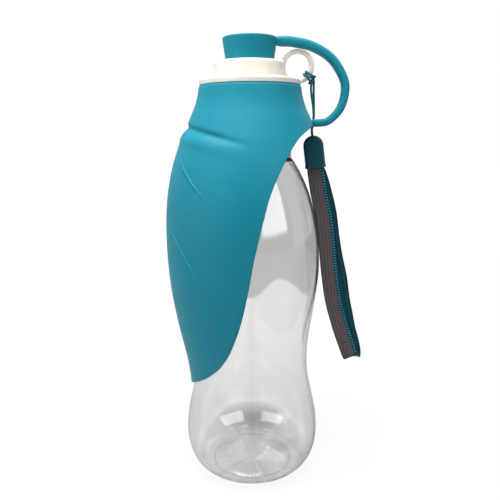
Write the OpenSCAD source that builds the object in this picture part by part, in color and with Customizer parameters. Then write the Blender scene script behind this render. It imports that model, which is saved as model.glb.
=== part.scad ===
// Dog travel water bottle with a silicone leaf that turns up into a drinking bowl.
// Millimetres, +Z up. The origin is the centre of the standing ring, at table height.
// The strap, the side ring and the lanyard are on the +X side, and the leaf hangs on the -X side.

/* [Bottle] */
// Diameter of the belly, the widest place above the waist
belly_d = 78; // [74:0.5:94]
// Diameter of the heel, the widest place below the waist
heel_d = 78; // [70:0.5:94]
// Diameter of the waist
waist_d = 65.5; // [54:0.5:72]
// Outer diameter of the flat ring that the bottle stands on
foot_d = 53; // [44:0.5:60]
// Width of the flat ring that the bottle stands on
foot_w = 3; // [2:0.5:5]
// Height of the hollow under the base
punt_h = 5; // [3:0.5:8]
// Height of the heel's widest place
heel_z = 22; // [18:1:28]
// Height of the waist
waist_z = 66; // [56:1:80]
// Height of the belly's widest place
belly_z = 124; // [110:1:150]
// Height that the shoulder's curve would need to close to a point
shoulder_h = 72.5; // [64:0.5:87]
// Thickness of the blown wall
wall = 0.9; // [0.6:0.1:1.4]

/* [Neck] */
// Outer diameter of the neck over its thread
neck_d = 45.2; // [38:0.2:46]
// Thickness of the neck
neck_wall = 2; // [1.4:0.1:2.6]
// Length of the neck above the shoulder
neck_h = 36.4; // [33:0.2:44]
// Diameter of the ledge below the cap
ledge_d = 50; // [48:0.5:54]
// Thickness of the ledge
ledge_t = 2.4; // [1.5:0.1:3]
// Distance from the lip down to the ledge's top
ledge_drop = 19; // [18.5:0.5:22]

/* [Cap] */
// Thickness of the sealing ring
seal_t = 1.5; // [1:0.1:2.5]
// Width of the sealing ring
seal_w = 4.6; // [3:0.1:5]
// Thickness of the cap's skirt
skirt_wall = 2.4; // [1.8:0.1:3]
// Length of the cap's skirt below the sealing ring
skirt_h = 17.5; // [14:0.5:18]
// Height of the bead that keeps the sleeve on the skirt
bead_h = 1.6; // [1:0.1:2]
// How far that bead stands out
bead_out = 0.8; // [0.4:0.1:1.2]
// Overhang of the flange past the sleeve's grip on the skirt
flange_out = 1.9; // [1:0.1:3]
// Thickness of the flange at its edge
flange_t = 1.9; // [1.4:0.1:3]
// Rise of the flange's top from its edge to the raised middle
flange_rise = 1.5; // [0:0.1:3]
// Diameter of the raised middle
tier_d = 38; // [34:0.5:42]
// Height of the raised middle above the flange's underside
tier_h = 12.3; // [10:0.1:15]
// Thickness of the raised middle's walls
tier_wall = 1.9; // [1.4:0.1:2.6]
// Radius along the top edge of the raised middle
tier_round = 1.8; // [0.5:0.1:3]

/* [Spout] */
// Diameter of the spout at its foot
spout_d = 18; // [15:0.5:20]
// Height of the spout
spout_h = 6.6; // [5:0.1:8]
// How much the spout narrows on each side
spout_draft = 1.2; // [0.8:0.1:2]
// Diameter of the hole in the spout
spout_bore_d = 8; // [7:0.5:9]

/* [Side ring] */
// Diameter of the hole in the side ring
ring_bore_d = 13; // [10:0.5:14]
// Outer diameter of the side ring
ring_d = 17.8; // [16:0.2:20]
// Thickness of the side ring
ring_t = 3; // [2:0.1:3.6]

/* [Leaf sleeve] */
// Thickness of the collar where it grips the skirt
collar_wall = 2; // [1.5:0.1:3]
// Length of that grip
grip_h = 8.1; // [6:0.1:9]
// Thickness of the leaf
leaf_wall = 1.8; // [1.4:0.1:2.1]
// Width of the crease across the top of the leaf
crease_w = 1.1; // [0.6:0.1:1.6]
// Depth of the crease over the leaf's back
crease_deep = 1.2; // [0.4:0.1:1.3]
// Slant of the crease, in degrees
crease_tilt = 17.8; // [10:0.2:24]
// Width of a vein
vein_w = 1.2; // [0.6:0.1:2]
// How far a vein stands out
vein_out = 0.5; // [0.2:0.1:0.8]
// Width of the ear that carries the strap
ear_w = 8; // [6:0.5:9]
// How far the ear reaches from the axis
ear_x = 37; // [36:0.5:40]

/* [Plug and strap] */
// Diameter of the plug at its lower edge
plug_d = 26; // [24:0.2:30]
// Widest diameter of the plug, near its top
plug_top_d = 29.4; // [27:0.2:34]
// Height of the plug
plug_h = 12.1; // [10.5:0.1:15]
// Length of the stub inside the plug that closes the spout's hole
stub_h = 3; // [2:0.1:4]
// Width of the strap
strap_w = 8; // [6:0.5:9]
// Thickness of the strap at the plug
strap_t = 4.8; // [4:0.1:6]
// Thickness of the strap at the ear
strap_end_t = 4.1; // [3:0.1:5]
// Furthest reach of the strap's middle line from the axis
strap_reach = 51.6; // [48:0.2:58]

/* [Lanyard] */
// Diameter of the cord
cord_d = 1.2; // [0.8:0.1:1.4]
// Width of the moulded end piece
end_w = 11.2; // [10.6:0.1:13]
// Length of the moulded end piece
end_h = 17.9; // [15:0.1:20]
// Thickness of the moulded end piece
end_t = 5; // [4:0.1:6]
// Width of the ribbon
ribbon_w = 9.8; // [8:0.1:9.8]
// Thickness of the ribbon
ribbon_t = 1; // [0.6:0.1:1.1]

/* [Clearances] */
// Between the neck and the cap's skirt, on each side
skirt_gap = 0.3; // [0.2:0.05:0.6]
// Between the silicone collar and the skirt, on each side
collar_gap = 0.1; // [0:0.05:0.2]
// Between the spout and the plug
plug_gap = 0.25; // [0.15:0.05:0.4]
// Between the leaf's tip and the bottle
tip_gap = 0.35; // [0.3:0.05:1]
// Round the knot and the ribbon's ends in the end piece
end_gap = 0.1; // [0.05:0.05:0.3]

/* [Hidden] */

teal = [0.16, 0.60, 0.69];
dark_teal = [0.02, 0.33, 0.38];
far = 200;
curve = 96;
bevel = 0.5;
// Air between silicone and what it comes near to.
air = 0.3;

// ---- radii and heights ----
belly_r = belly_d / 2;
heel_r = heel_d / 2;
waist_r = waist_d / 2;
foot_r = foot_d / 2;
neck_r = neck_d / 2;
root_z = belly_z + shoulder_h * sqrt(1 - pow(neck_r / belly_r, 2));
lip_z = root_z + neck_h;
plate_z = lip_z + seal_t;
skirt_in = neck_r + skirt_gap;
skirt_out = skirt_in + skirt_wall;
grip_r = skirt_out + collar_gap;
collar_r = grip_r + collar_wall;
plate_t = 1.3;
rim_z = plate_z + plate_t;
tier_z = rim_z + tier_h;
spout_z = tier_z + spout_h;
plug_z = tier_z + air;
plug_top = plug_z + plug_h;
ring_lift = 0.1;
ring_x = tier_d / 2 + ring_bore_d / 2 + ring_lift;
ring_z = rim_z + ring_d / 2 + ring_lift;
lug_reach = 2.2;
lug_x = plug_top_d / 2 + lug_reach;
// How far the strap's top stands above the plug's.
lug_up = 0.6;
lug_z = plug_top + lug_up - strap_t / 2;
ear_drop = 20.7;
ear_z = rim_z - ear_drop;

// ---- curves ----
function mix(a, b, t) = a + (b - a) * t;

// One span of a smooth curve from b to c, with a and d as its neighbours.
function span(a, b, c, d, t) =
    0.5 * (2 * b + (c - a) * t + (2 * a - 5 * b + 4 * c - d) * t * t + (3 * b - a - 3 * c + d) * t * t * t);

// A smooth curve through every point of p, with n steps to a span.
function smooth(p, n) = [
    for (i = [0 : len(p) - 2], k = [0 : n - 1])
        span(p[max(i - 1, 0)], p[i], p[i + 1], p[min(i + 2, len(p) - 1)], k / n),
    p[len(p) - 1]
];

function reversed(p) = [for (i = [len(p) - 1 : -1 : 0]) p[i]];
function unit(v) = v / norm(v);

// A swell from r0 at z0 to r1 at z1, level at both ends.
function swell(r0, z0, r1, z1, z) = (r0 + r1) / 2 + (r0 - r1) / 2 * cos(180 * (z - z0) / (z1 - z0));

// ---- the bottle's outline ----
// Radius of the bottle's outside at a height above its heel.
function bottle_r(z) =
    z < waist_z ? swell(heel_r, heel_z, waist_r, waist_z, max(z, heel_z))
    : z < belly_z ? swell(waist_r, waist_z, belly_r, belly_z, z)
    : z < root_z ? belly_r * sqrt(1 - pow((z - belly_z) / shoulder_h, 2))
    : neck_r;

// Half of the bottle's section from the foot to the shoulder, t inside the outer surface.
function body_side(t) = [
    for (a = [0 : 9 : 81])
        [mix(foot_r, heel_r - t, sin(a)), mix(t, heel_z, 1 - cos(a))],
    for (z = [heel_z : 4 : waist_z - 2]) [bottle_r(z) - t, z],
    for (z = [waist_z : 4 : belly_z - 2]) [bottle_r(z) - t, z],
    for (a = [0 : 6 : 54])
        let (z = belly_z + (root_z - belly_z) * sin(a) / sin(60)) [bottle_r(z) - t, z]
];

// The hollow under the base, t above its underside, as shares of the standing ring's inner radius
// and of the hollow's height.
foot_in = foot_r - foot_w;
punt_curve = [[0, 1], [0.5, 0.86], [0.85, 0.42], [1, 0]];
function punt(t) = [for (p = punt_curve) [foot_in * p[0], punt_h * p[1] + t]];

module bottle() {
    ledge_z = lip_z - ledge_drop;
    bore_r = neck_r - neck_wall;
    color([0.86, 0.89, 0.90, 0.4])
        rotate_extrude($fn = curve)
            polygon(concat(
                punt(0),
                body_side(0),
                [[neck_r, root_z], [neck_r, ledge_z - ledge_t], [ledge_d / 2, ledge_z - ledge_t],
                 [ledge_d / 2, ledge_z], [neck_r, ledge_z], [neck_r, lip_z - bevel], [neck_r - bevel, lip_z],
                 [bore_r, lip_z], [bore_r, root_z]],
                reversed(body_side(wall)),
                reversed(punt(wall))
            ));
}

// ---- cap and seal ----
module cap_seal() {
    seal_out = skirt_in - air;
    color([0.92, 0.92, 0.90])
        translate([0, 0, lip_z])
            difference() {
                cylinder(h = seal_t, r = seal_out, $fn = curve);
                translate([0, 0, -1]) cylinder(h = seal_t + 2, r = seal_out - seal_w, $fn = curve);
            }
}

module cap_turned() {
    skirt_z = plate_z - skirt_h;
    bead_z = rim_z - grip_h - bead_h;
    flange_r = grip_r + flange_out;
    tier_r = tier_d / 2;
    spout_r = spout_d / 2;
    bore_r = spout_bore_d / 2;
    inside_r = tier_r - tier_wall;
    ceiling_z = tier_z - tier_wall;
    rotate_extrude($fn = curve)
        polygon(concat(
            [[skirt_in, skirt_z], [skirt_out - bevel, skirt_z], [skirt_out, skirt_z + bevel],
             [skirt_out, bead_z]],
            [for (a = [-60 : 30 : 60])
                [skirt_out + bead_out * cos(a), bead_z + bead_h / 2 * (1 + sin(a))]],
            [[skirt_out, bead_z + bead_h], [skirt_out, rim_z], [flange_r, rim_z],
             [flange_r, rim_z + flange_t - bevel], [flange_r - bevel, rim_z + flange_t],
             [tier_r, rim_z + flange_t + flange_rise]],
            [for (a = [0 : 15 : 90])
                [tier_r - tier_round * (1 - cos(a)), tier_z - tier_round * (1 - sin(a))]],
            [[spout_r, tier_z], [spout_r - spout_draft, spout_z - bevel],
             [spout_r - spout_draft - bevel, spout_z], [bore_r, spout_z], [bore_r, ceiling_z],
             [inside_r, ceiling_z], [inside_r, plate_z], [skirt_in, plate_z]]
        ));
}

module cap() {
    color([0.96, 0.95, 0.92])
        union() {
            cap_turned();
            difference() {
                translate([ring_x, ring_t / 2, ring_z])
                    rotate([90, 0, 0]) cylinder(h = ring_t, d = ring_d, $fn = 64);
                translate([ring_x, ring_t, ring_z])
                    rotate([90, 0, 0]) cylinder(h = ring_t * 2, d = ring_bore_d, $fn = 64);
                translate([0, 0, rim_z]) cylinder(h = far, r = (tier_d - tier_wall) / 2, $fn = curve);
            }
        }
}

// ---- leaf sleeve ----
// The sleeve's outside, as the drop below its rim and the radius added to the collar's.
collar_swell = [[0, 0], [6.3, 1.1], [12.3, 2.9], [18.6, 5.8], [25.3, 9.1], [31.8, 12.1], [45.3, 16.1]];
// Below those it follows the bottle: the drop and the distance that it stands off.
leaf_stand = [[63.3, 12.6], [84.3, 9.4], [109.3, 7.9], [132.7, 7.7], [153.8, 5.4], [166.5, 2.9]];
// The leaf's edge: the drop and the angle from the leaf's middle, from the ear to near the tip.
leaf_edge = [[20.6, 176], [22.6, 164], [24.8, 148], [28.3, 133], [34, 122], [42.5, 112],
             [53.7, 103.7], [65, 98.8], [85.6, 92.5], [107.4, 87.4], [124.2, 82],
             [138.9, 74.1], [147, 66.6], [151.7, 60.4]];
// The rest of the edge, round the tip.
leaf_tip = [[151.7, 60.4], [157.5, 49.4], [162, 38], [166.2, 25], [169.6, 12], [170.9, 0]];
// How far below the rim the crease crosses the axis, and how far the ear's root reaches up and down.
crease_drop = 32;
ear_root = 3.2;
// Where the veins start and end, as drop and angle.
veins = [[[34.3, 22.2], [60, 63.7]], [[79.7, 26.6], [100.5, 60]]];

function leaf_rows() = concat(
    [for (p = collar_swell) [collar_r + p[1], rim_z - p[0]]],
    [for (p = leaf_stand) [bottle_r(rim_z - p[0]) + p[1], rim_z - p[0]]],
    [for (drop = [171, 176])
        [bottle_r(rim_z - drop) + leaf_wall + tip_gap, rim_z - drop]]
);
leaf_outline = smooth(leaf_rows(), 3);
leaf_lookup = [for (p = reversed(leaf_outline)) [p[1], p[0]]];
function leaf_r(z) = lookup(z, leaf_lookup);
function leaf_x(drop, angle) = -leaf_r(rim_z - drop) * cos(angle);
function leaf_y(drop, angle) = leaf_r(rim_z - drop) * sin(angle);

// The sleeve before it is trimmed: a grip round the cap's skirt, and a wall that swells out below it.
module leaf_blank() {
    grip_z = rim_z - grip_h;
    rotate_extrude($fn = curve)
        polygon(concat(
            leaf_outline,
            reversed([for (p = leaf_outline) if (p[1] < grip_z - bevel)
                [p[0] - leaf_wall, p[1]]]),
            [[grip_r + leaf_wall, grip_z - bevel], [grip_r, grip_z], [grip_r, rim_z]]
        ));
}

// A skin from the middle of the leaf's wall to a little outside it.
module leaf_skin(out) {
    rotate_extrude($fn = curve)
        polygon(concat(
            [for (p = leaf_outline) [p[0] + out, p[1]]],
            reversed([for (p = leaf_outline) [p[0] - leaf_wall / 2, p[1]]])
        ));
}

// A line that goes straight on past its last point.
function run_on(p, length) =
    let (n = len(p), way = unit(p[n - 1] - p[n - 2]))
        [for (i = [0 : n - 1]) i == n - 1 ? p[i] + way * length : p[i]];

// Everything above the leaf's edge, seen from the side.
module side_cut() {
    edge = run_on([for (p = smooth(leaf_edge, 2)) [leaf_x(p[0], p[1]), rim_z - p[0]]], 40);
    last = edge[len(edge) - 1];
    rotate([90, 0, 0])
        linear_extrude(height = far, center = true)
            polygon(concat(
                [[far, far * 2], [far, edge[0][1]]],
                edge,
                [[last[0], -far], [-far, -far], [-far, far * 2]]
            ));
}

// Everything above the leaf's tip, seen from behind the leaf.
module tip_cut() {
    half = run_on(reversed([for (p = smooth(leaf_tip, 3)) [leaf_y(p[0], p[1]), rim_z - p[0]]]), 40);
    top = [far, far * 2];
    rotate([90, 0, 90])
        linear_extrude(height = far, center = true)
            polygon(concat(
                [for (p = half) p],
                [top, [-top[0], top[1]]],
                reversed([for (i = [1 : len(half) - 1]) [-half[i][0], half[i][1]]])
            ));
}

// The slanted crease, deepest over the leaf's back and gone at its sides.
module crease() {
    middle_z = rim_z - crease_drop;
    back_z = middle_z + collar_r * tan(crease_tilt);
    back_r = leaf_r(back_z) - crease_deep;
    side_r = leaf_r(middle_z) + air;
    floor_r = (back_r + side_r * side_r / back_r) / 2;
    shift = floor_r - back_r;
    difference() {
        intersection() {
            translate([0, 0, middle_z])
                rotate([0, crease_tilt, 0])
                    cube([far, far, crease_w], center = true);
            translate([-far, -far / 2, 0]) cube([far, far, far * 2]);
        }
        translate([shift, 0, 0]) cylinder(h = far * 2, r = floor_r, $fn = curve);
    }
}

module vein(start, end) {
    a = [leaf_x(start[0], start[1]), rim_z - start[0]];
    b = [leaf_x(end[0], end[1]), rim_z - end[0]];
    intersection() {
        leaf_skin(vein_out);
        translate([(a[0] + b[0]) / 2, 0, (a[1] + b[1]) / 2])
            rotate([0, atan2(a[1] - b[1], b[0] - a[0]), 0])
                cube([norm(b - a), far, vein_w], center = true);
    }
}

// The ear tapers from its root in the leaf's wall to the strap's end.
module ear() {
    root_top = [leaf_r(ear_z + ear_root) - leaf_wall / 2, ear_z + ear_root];
    root_low = [leaf_r(ear_z) - leaf_wall, ear_z - ear_root];
    rotate([90, 0, 0])
        linear_extrude(height = ear_w, center = true)
            polygon([root_top, [ear_x, ear_z + strap_end_t / 2], [ear_x, ear_z - strap_end_t / 2],
                     [root_low[0] + leaf_wall, root_low[1]], root_low]);
}

module leaf_sleeve() {
    color(teal)
        union() {
            difference() {
                intersection() {
                    leaf_blank();
                    side_cut();
                    tip_cut();
                }
                crease();
            }
            for (v = veins) vein(v[0], v[1]);
            ear();
        }
}

// ---- plug ----
module plug() {
    top_r = plug_top_d / 2;
    round_r = 0.9;
    crown = 0.8;
    socket_r = spout_d / 2 + plug_gap;
    socket_top = spout_z + air;
    stub_r = spout_bore_d / 2 - plug_gap;
    ramp_w = 1.6;
    color(teal)
        union() {
            rotate_extrude($fn = curve)
                polygon(concat(
                    [for (t = [0 : 0.25 : 0.75]) [top_r * t, plug_top - crown * t * t]],
                    [for (a = [90 : -15 : 0])
                        [top_r - round_r * (1 - cos(a)), plug_top - crown - round_r * (1 - sin(a))]],
                    [[plug_d / 2, plug_z], [socket_r, plug_z], [socket_r - spout_draft, socket_top],
                     [stub_r, socket_top], [stub_r - bevel, socket_top - stub_h], [0, socket_top - stub_h]]
                ));
            translate([0, 0, lug_z])
                rotate([0, 90, 0])
                    difference() {
                        union() {
                            translate([-strap_t / 2, -(strap_w - strap_t) / 2, 0])
                                cube([strap_t, strap_w - strap_t, lug_x]);
                            for (side = [-1, 1])
                                translate([0, side * (strap_w - strap_t) / 2, 0])
                                    cylinder(h = lug_x, d = strap_t, $fn = 32);
                        }
                        translate([-strap_t, -strap_w, -1]) cube([strap_t * 2, strap_w * 2, top_r - 2]);
                    }
            // The ramp from the crown up to the strap.
            rotate([90, 0, 0])
                linear_extrude(height = strap_w - strap_t + ramp_w, center = true)
                    polygon([[top_r * 0.2, plug_top - crown], [top_r - 2.5, lug_z + strap_t / 2 - 0.25],
                             [top_r - 2.5, plug_top - crown * 2]]);
        }
}

// ---- swept parts ----
// A solid through a row of rings that have the same number of points.
module loft(rings) {
    n = len(rings[0]);
    m = len(rings);
    sides = [for (i = [0 : m - 2], k = [0 : n - 1])
        let (a = i * n + k, b = i * n + (k + 1) % n)
            each [[a, a + n, b + n], [a, b + n, b]]];
    ends = [for (k = [1 : n - 2])
        each [[0, k, k + 1], [(m - 1) * n, (m - 1) * n + k + 1, (m - 1) * n + k]]];
    polyhedron(points = [for (r = rings) each r], faces = concat(sides, ends));
}

// ---- strap ----
lug_end = [lug_x, lug_z];
ear_end = [ear_x, ear_z];
strap_rise = lug_z - ear_z;
strap_path = smooth([
    lug_end, lug_end + [6, -1.1], lug_end + [16.5, -3.7],
    [strap_reach - 8, ear_z + strap_rise * 0.775], [strap_reach - 1.5, ear_z + strap_rise * 0.56],
    [strap_reach, ear_z + strap_rise * 0.386], [strap_reach - 2.5, ear_z + strap_rise * 0.174],
    ear_end + [6, 1.2], ear_end], 3);

module plug_strap() {
    n = len(strap_path);
    rings = [for (i = [0 : n - 1])
        let (way = i == 0 ? [1, 0] : i == n - 1 ? [-1, 0] : unit(strap_path[i + 1] - strap_path[i - 1]),
             across = [-way[1], way[0]],
             thick = mix(strap_t, strap_end_t, i / (n - 1)))
            [for (a = [15 : 30 : 345])
                let (s = strap_path[i] + across * thick / 2 * sin(a))
                    [s[0], strap_w / 2 * cos(a), s[1]]]];
    color(teal) loft(rings);
}

// ---- lanyard ----
// The place on the side ring where the cord is hitched: its lower right, out from the ring's centre.
hitch_angle = -40;
hitch_r = (ring_bore_d + ring_d) / 4;
hitch_out = [cos(hitch_angle), 0, sin(hitch_angle)];
hitch_along = [-sin(hitch_angle), 0, cos(hitch_angle)];
hitch_at = [ring_x, 0, ring_z] + hitch_out * hitch_r;
// Half of the hitch, as distances out from the ring's rim, along the rim, and across it to the back:
// one leg comes up behind the rim, goes through the ring, and round to the bar that holds both legs.
hitch_half = [[3.6, -0.8, 2.6], [1.5, -0.8, 2.7], [-0.4, -0.8, 2.6], [-1.5, -0.8, 2.3], [-2.2, -0.8, 1.3],
              [-2.4, -0.8, 0], [-2.2, -0.8, -1.3], [-1.5, -0.8, -2.3], [-0.3, -0.9, -2.6], [1.2, -1.1, -2.5],
              [2.4, -1.6, -1.7], [3, -2.1, -0.2], [3.1, -2.3, 1.5], [3.1, -2.2, 3.1], [3, -1.7, 4.2],
              [3, -0.7, 4.6]];
// A point given in the end piece's own frame: its round top is the origin and it hangs along -Z.
end_at = [34.8, 5.5, 194.8];
end_tilt = 7;
knot_drop = 5.4;
function in_end(x, y, z) =
    end_at + [x * cos(end_tilt) - z * sin(end_tilt), y, x * sin(end_tilt) + z * cos(end_tilt)];
// The cord's two legs stand side by side below the hitch, and turned by leg_turn at the end piece.
leg_apart = 1.5;
leg_turn = 75;
// The middle between them above the end piece, with the share of the turn that they still have.
leg_points = [[34.5, 5.8, 198, 1], [35.1, 6.3, 200.3, 1], [35.4, 6.5, 202.3, 1], [35.5, 6.5, 204.5, 1],
              [35.5, 6.3, 207, 1], [35.3, 5.9, 210, 0.87], [34.9, 5.4, 214, 0.6], [34.5, 5, 217.5, 0.3],
              [34.3, 4.4, 221, 0]];
// One leg, from the knot to just below the hitch, x to the side of the pair's middle.
function leg(x) = concat(
    [for (z = [-knot_drop, -3, 0]) in_end(x * cos(leg_turn), x * sin(leg_turn), z)],
    [for (p = leg_points) [p[0] + x * cos(leg_turn * p[3]), p[1] + x * sin(leg_turn * p[3]), p[2]]]
);
cord_route = concat(
    leg(-leg_apart / 2),
    [for (p = hitch_half) hitch_at + hitch_out * p[0] + hitch_along * p[1] + [0, p[2], 0]],
    reversed([for (p = hitch_half) hitch_at + hitch_out * p[0] - hitch_along * p[1] + [0, p[2], 0]]),
    reversed(leg(leg_apart / 2))
);

module wrist_cord() {
    color(teal) loft(tube_rings(cord_route, cord_d / 2, 8));
}

// Rings of a tube along a path, each turned as little as possible from the one before.
function next_side(side, way) = unit(side - way * (side * way));
function tube_ways(path) = [for (i = [0 : len(path) - 1])
    unit(path[min(i + 1, len(path) - 1)] - path[max(i - 1, 0)])];
function tube_sides(ways, i = 0, side = [0, 1, 0], found = []) =
    i == len(ways) ? found
    : let (now = next_side(side, ways[i])) tube_sides(ways, i + 1, now, concat(found, [now]));
function tube_rings(path, r, n) =
    let (ways = tube_ways(path), sides = tube_sides(ways))
        [for (i = [0 : len(path) - 1])
            let (up = cross(ways[i], sides[i]))
                [for (k = [0 : n - 1]) path[i] + r * (sides[i] * cos(360 * k / n) + up * sin(360 * k / n))]];

end_lip = 0.3;
end_lip_h = 1.4;
pocket_h = 7;
knot_r = 2.1;
knot_h = 2.6;
knot_round = 0.7;

module cord_knot() {
    color(teal)
        translate(end_at)
            rotate([0, -end_tilt, 0])
                translate([0, 0, -knot_drop - knot_h])
                    rotate_extrude($fn = 32)
                        polygon([[0, 0], [knot_r - knot_round, 0], [knot_r, knot_round],
                                 [knot_r, knot_h - air], [knot_r - air, knot_h], [0, knot_h]]);
}

module cord_end() {
    half = end_w / 2;
    slot_t = cord_d + end_gap * 2;
    slot_w = leg_apart + slot_t;
    color(dark_teal)
        translate(end_at)
            rotate([0, -end_tilt, 0])
                difference() {
                    union() {
                        rotate([90, 0, 0])
                            translate([0, 0, -end_t / 2]) {
                                translate([0, -half, 0]) cylinder(h = end_t, r = half, $fn = 64);
                                translate([-half, -end_h, 0]) cube([end_w, end_h - half, end_t]);
                            }
                        translate([-half - end_lip, -end_t / 2 - end_lip, -end_h])
                            cube([end_w + end_lip * 2, end_t + end_lip * 2, end_lip_h]);
                    }
                    rotate([0, 0, leg_turn])
                        translate([-slot_w / 2, -slot_t / 2, -knot_drop - 1])
                            cube([slot_w, slot_t, knot_drop + 2]);
                    translate([0, 0, -knot_drop - knot_h - end_gap])
                        cylinder(h = knot_h + end_gap * 2, r = knot_r + end_gap, $fn = 32);
                    translate([-ribbon_w / 2 - end_gap, -ribbon_t - end_gap * 2, -end_h - 1])
                        cube([ribbon_w + end_gap * 2, ribbon_t * 2 + end_gap * 4, pocket_h + 1]);
                }
}

// The ribbon's middle line, with the lean of its width in degrees: down the front, round the fold, and up.
// Its two ends lie one behind the other in the end piece's pocket.
ribbon_in = (ribbon_t + end_gap) / 2;
ribbon_ends = [-11.2, -15, -18.4];
function ribbon_end(side) = [for (z = side > 0 ? ribbon_ends : reversed(ribbon_ends))
    concat(in_end(0, -side * ribbon_in, z), [end_tilt])];
ribbon_route = concat(
    ribbon_end(1),
    [[37.7, 4.8, 171, 8], [39.3, 4.4, 161.5, 10], [42, 4.2, 149.5, 10], [43.8, 4, 137.5, 8], [45, 4, 125, 7],
     [46.5, 4, 112.5, 8], [48.6, 4, 99.5, 12], [51.1, 4, 90, 15], [54, 4.2, 80.5, 17], [57.2, 4.3, 71.5, 17],
     [59.1, 4.4, 66.3, 17], [60, 4.7, 64.2, 17], [60.6, 5.3, 63.2, 17], [61.1, 6, 62.9, 17],
     [61.5, 6.7, 63.2, 17], [61.8, 7.3, 64.2, 17], [61.7, 7.5, 66.3, 17], [60.6, 7.6, 71.5, 17],
     [58.2, 7.6, 80, 16], [56.2, 7.8, 89.5, 14], [54.2, 8, 99, 11], [52.3, 8.1, 111.5, 9],
     [49.3, 8, 124.5, 9], [47, 7.8, 137, 9], [45.2, 7.4, 149.5, 9], [42.2, 6.8, 161.5, 9],
     [39.3, 6.3, 171, 8]],
    ribbon_end(-1)
);

module wrist_webbing() {
    n = len(ribbon_route);
    middle = [for (p = ribbon_route) [p[0], p[1], p[2]]];
    ways = tube_ways(middle);
    rings = [for (i = [0 : n - 1])
        let (lean = ribbon_route[i][3],
             wide = next_side([cos(lean), 0, sin(lean)], ways[i]) * ribbon_w / 2,
             thick = cross(ways[i], unit(wide)) * ribbon_t / 2)
            [middle[i] + wide + thick, middle[i] - wide + thick, middle[i] - wide - thick,
             middle[i] + wide - thick]];
    color([0.35, 0.31, 0.33]) loft(rings);
}

bottle();
cap_seal();
cap();
leaf_sleeve();
plug_strap();
plug();
wrist_cord();
cord_knot();
cord_end();
wrist_webbing();
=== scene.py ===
from bisect import bisect_right
from math import cos, exp, hypot, pi, radians, sin, sqrt, tan

import bmesh
import bpy
from mathutils import Matrix, Vector


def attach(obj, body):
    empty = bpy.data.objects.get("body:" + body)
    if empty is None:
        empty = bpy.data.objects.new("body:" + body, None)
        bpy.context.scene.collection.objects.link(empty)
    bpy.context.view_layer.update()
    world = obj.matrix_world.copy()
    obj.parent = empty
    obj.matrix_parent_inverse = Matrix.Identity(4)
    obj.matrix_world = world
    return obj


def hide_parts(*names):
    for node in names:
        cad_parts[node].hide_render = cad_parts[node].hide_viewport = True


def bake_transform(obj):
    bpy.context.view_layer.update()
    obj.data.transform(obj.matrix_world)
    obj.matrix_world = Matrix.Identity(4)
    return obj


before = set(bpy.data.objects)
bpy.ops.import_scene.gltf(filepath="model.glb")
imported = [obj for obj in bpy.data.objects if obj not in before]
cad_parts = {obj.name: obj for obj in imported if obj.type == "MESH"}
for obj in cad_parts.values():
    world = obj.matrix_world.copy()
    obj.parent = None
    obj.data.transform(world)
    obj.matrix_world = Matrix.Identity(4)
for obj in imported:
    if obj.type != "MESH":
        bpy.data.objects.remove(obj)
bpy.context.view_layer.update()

MM = 0.001
scene = bpy.context.scene


# ---- camera ----
# Fitted to the photograph: pixels of focal length in a picture this wide, metres, degrees.
focal_px, picture_px, sensor_mm = 560, 500, 36
camera_at = (-0.0001, -0.315, 0.197)
camera_tilt, camera_roll = 11.9, 0.36


def set_camera():
    lens = bpy.data.cameras.new("camera")
    lens.sensor_width = sensor_mm
    lens.lens = focal_px / picture_px * sensor_mm
    lens.clip_start = 0.01
    camera = bpy.data.objects.new("camera", lens)
    camera.location = camera_at
    camera.rotation_euler = (radians(90 - camera_tilt), radians(camera_roll), 0)
    scene.collection.objects.link(camera)
    scene.camera = camera


set_camera()

# ---- sizes that follow the part, in millimetres ----
foot_r, foot_in, punt_h, wall = 26.5, 23.5, 5, 0.9
heel_r, heel_z, waist_r, waist_z, belly_r, belly_z = 39, 22, 32.75, 66, 39, 124
shoulder_h = 72.5
neck_r, neck_wall = 22.6, 2
root_z = belly_z + shoulder_h * sqrt(1 - (neck_r / belly_r) ** 2)
lip_z = root_z + 36.4
seal_t = 1.5
plate_z = lip_z + seal_t
rim_z = plate_z + 1.3
tier_r, tier_z = 19, rim_z + 12.3
spout_z = tier_z + 6.6
skirt_in, skirt_out, grip_r, collar_r = 22.9, 25.3, 25.4, 27.4
grip_h, leaf_wall = 8.1, 1.8
plug_z = tier_z + 0.3
plug_top = plug_z + 12.1
ring_x, ring_z, ring_in, ring_out, ring_half = 25.6, rim_z + 9, 6.5, 8.9, 1.5
ear_x, ear_z = 37, rim_z - 20.7
lug_x, lug_z = 16.9, plug_top - 1.8
# How much lower than in the part the cap's upper forms and the sleeve's edge sit, as in the photograph.
sag = 0.7


# ---- curves and meshes ----
def mix(a, b, t):
    return a + (b - a) * t


def ease(t):
    t = min(max(t, 0), 1)
    return t * t * (3 - 2 * t)


def span(a, b, c, d, t):
    return 0.5 * (2 * b + (c - a) * t + (2 * a - 5 * b + 4 * c - d) * t * t + (3 * b - a - 3 * c + d) * t**3)


def smooth(points, n):
    """A smooth line through the points, with n steps from one to the next."""
    last = len(points) - 1
    line = []
    for i in range(last):
        near = [points[max(i - 1, 0)], points[i], points[i + 1], points[min(i + 2, last)]]
        for k in range(n):
            line.append(tuple(span(*(p[j] for p in near), k / n) for j in range(len(points[0]))))
    line.append(tuple(points[last]))
    return line


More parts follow.
